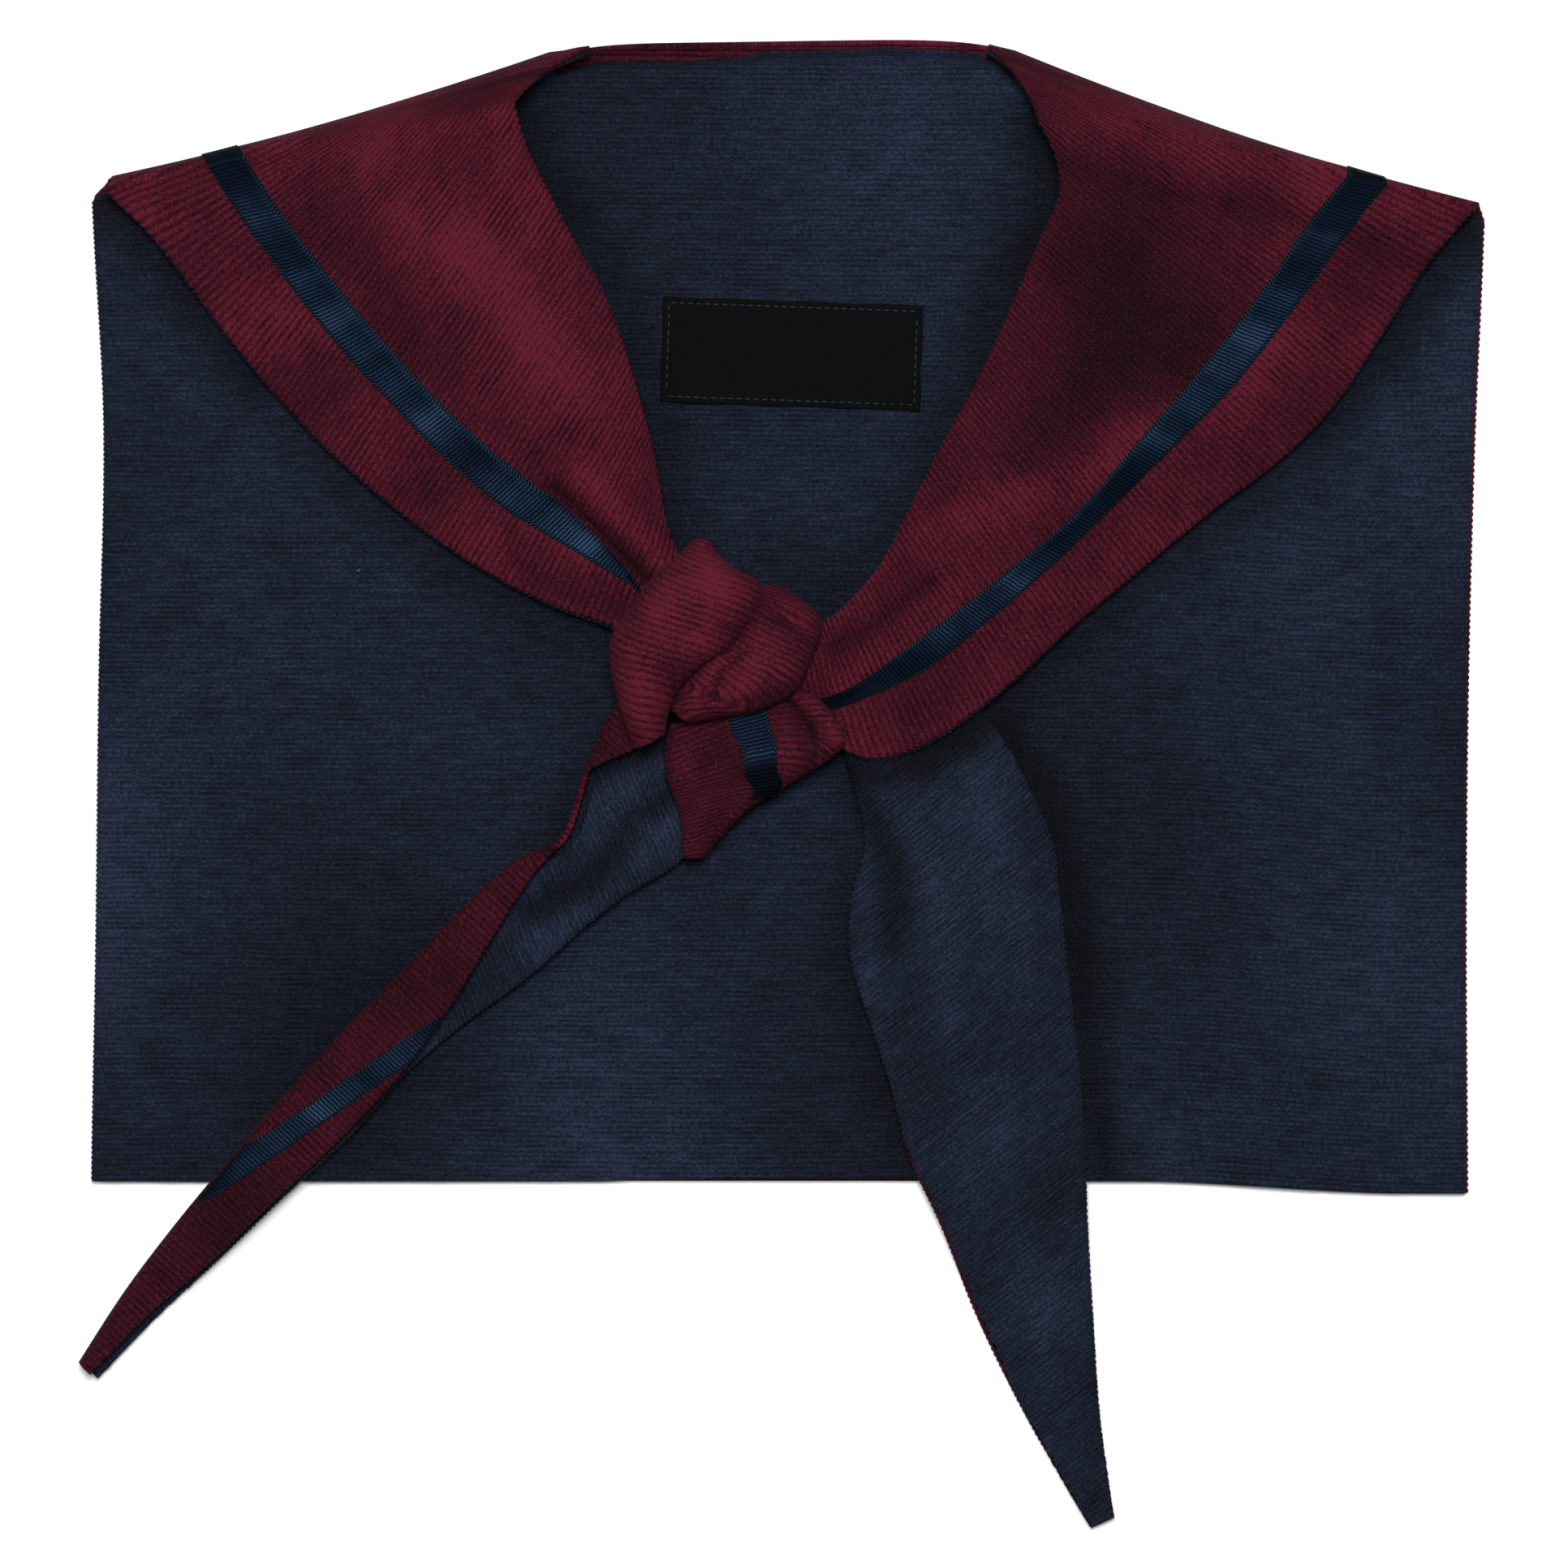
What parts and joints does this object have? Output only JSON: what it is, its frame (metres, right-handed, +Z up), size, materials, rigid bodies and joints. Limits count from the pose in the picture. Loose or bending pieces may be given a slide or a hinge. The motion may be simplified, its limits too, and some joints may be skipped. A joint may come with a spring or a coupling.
{
  "type": "sailor collar",
  "caption": "Child's sailor collar of lined corduroy with a ribbon stripe, its fronts tied in one knot with two free tails, laid flat.",
  "frame": {"origin": "middle of the collar's outline as it lies, on the surface it lies on", "axes": "+Z up from the surface, +Y towards the back of the neck, +X across the back panel"},
  "size_m": [0.3468, 0.3668, 0.0258],
  "materials": {
    "burgundy_cord": "burgundy corduroy, fine wales, matt",
    "navy_cord": "navy needlecord, matt",
    "navy_ribbon": "navy grosgrain, fine cross ribs, low sheen",
    "black_satin": "black satin weave, soft sheen"
  },
  "bodies": {
    "root": {"back_outer": "burgundy_cord", "back_lining": "navy_cord", "front_left_outer": "burgundy_cord", "front_left_lining": "navy_cord", "ribbon_front_left": "navy_ribbon", "front_right_outer": "burgundy_cord", "front_right_lining": "navy_cord", "ribbon_front_right": "navy_ribbon", "ribbon_back": "navy_ribbon", "label": "black_satin", "knot_wrap": "burgundy_cord", "knot_fold": "burgundy_cord", "knot_flap": "burgundy_cord", "knot_flap_ribbon": "navy_ribbon", "knot_core": "burgundy_cord", "tail_left_outer": "burgundy_cord", "tail_left_lining": "navy_cord", "tail_left_ribbon": "navy_ribbon", "tail_right_outer": "burgundy_cord", "tail_right_lining": "navy_cord"}
  },
  "joints": []
}
